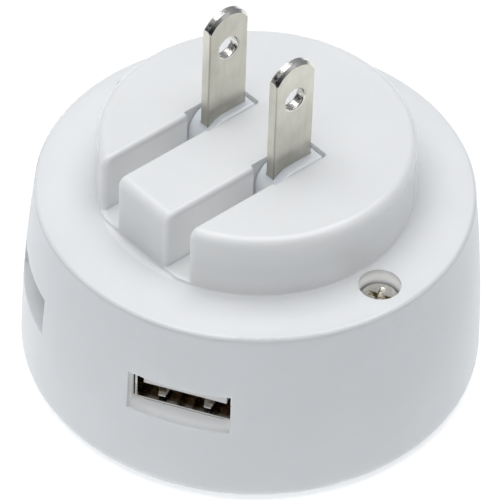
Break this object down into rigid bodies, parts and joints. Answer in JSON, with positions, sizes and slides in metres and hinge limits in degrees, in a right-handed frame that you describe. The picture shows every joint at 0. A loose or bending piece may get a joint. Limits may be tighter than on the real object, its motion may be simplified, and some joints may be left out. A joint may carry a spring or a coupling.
{
  "type": "usb wall charger",
  "caption": "Round USB wall charger: white drum with USB-A sockets round its wall, a raised boss, and a folding two-blade plug.",
  "frame": {"origin": "centre of the flat front face that the drum lies on, on the drum's axis", "axes": "+Z from the front face towards the plug, along the open blades; -Y towards the side the blades fold to, where the slots open; +X along the plug's hinge"},
  "size_m": [0.0602, 0.0602, 0.0525],
  "materials": {
    "housing_plastic": "fine satin moulded, cool white",
    "cover_plastic": "satin moulded, neutral white",
    "barrel_plastic": "glossy, slightly translucent, bluish white",
    "blade_nickel": "satin nickel plate, fine marks along the blade",
    "inner_plastic": "matte moulded",
    "screw_steel": "bright plated",
    "spring_steel": "plain rolled",
    "contact_bronze": "plain rolled bronze",
    "board_laminate": "green solder mask",
    "shell_steel": "bright tin plate",
    "tongue_plastic": "matte white",
    "contact_gold": "thin gold flash",
    "ferrite": "matte dark grey",
    "component_black": "matte black moulding",
    "winding_tape": "smooth yellow tape",
    "capacitor_sleeve": "shrunk glossy sleeve",
    "can_aluminium": "bare drawn can",
    "copper_wire": "enamelled copper",
    "safety_blue": "dipped blue coating"
  },
  "bodies": {
    "charger": {"housing": "housing_plastic", "rear_cover": "cover_plastic", "barrel_retainer": "inner_plastic", "retainer_screws": "screw_steel", "detent_spring": "spring_steel", "contact_spring_left": "contact_bronze", "contact_spring_right": "contact_bronze", "case_screws": "screw_steel", "main_board": "board_laminate", "usb_shell_1": "shell_steel", "usb_tongue_1": "tongue_plastic", "usb_contacts_1": "contact_gold", "usb_shell_2": "shell_steel", "usb_tongue_2": "tongue_plastic", "usb_contacts_2": "contact_gold", "usb_shell_3": "shell_steel", "usb_tongue_3": "tongue_plastic", "usb_contacts_3": "contact_gold", "usb_shell_4": "shell_steel", "usb_tongue_4": "tongue_plastic", "usb_contacts_4": "contact_gold", "transformer_core": "ferrite", "transformer_bobbin": "component_black", "transformer_winding": "winding_tape", "input_capacitor_1": "capacitor_sleeve", "input_capacitor_2": "capacitor_sleeve", "output_capacitor_1": "can_aluminium", "output_capacitor_2": "can_aluminium", "filter_choke_core": "ferrite", "filter_choke_winding": "copper_wire", "fuse": "component_black", "bridge_rectifier": "component_black", "control_chip": "component_black", "port_controller": "component_black", "safety_capacitor": "safety_blue"},
    "plug": {"plug_barrel": "barrel_plastic", "blade_left": "blade_nickel", "blade_right": "blade_nickel"}
  },
  "joints": [
    {"name": "plug_fold", "type": "hinge", "parent": "charger", "child": "plug", "pos_m": [0, -0.0003, 0.03195], "axis": [1, 0, 0], "range_deg": [0, 90]}
  ]
}
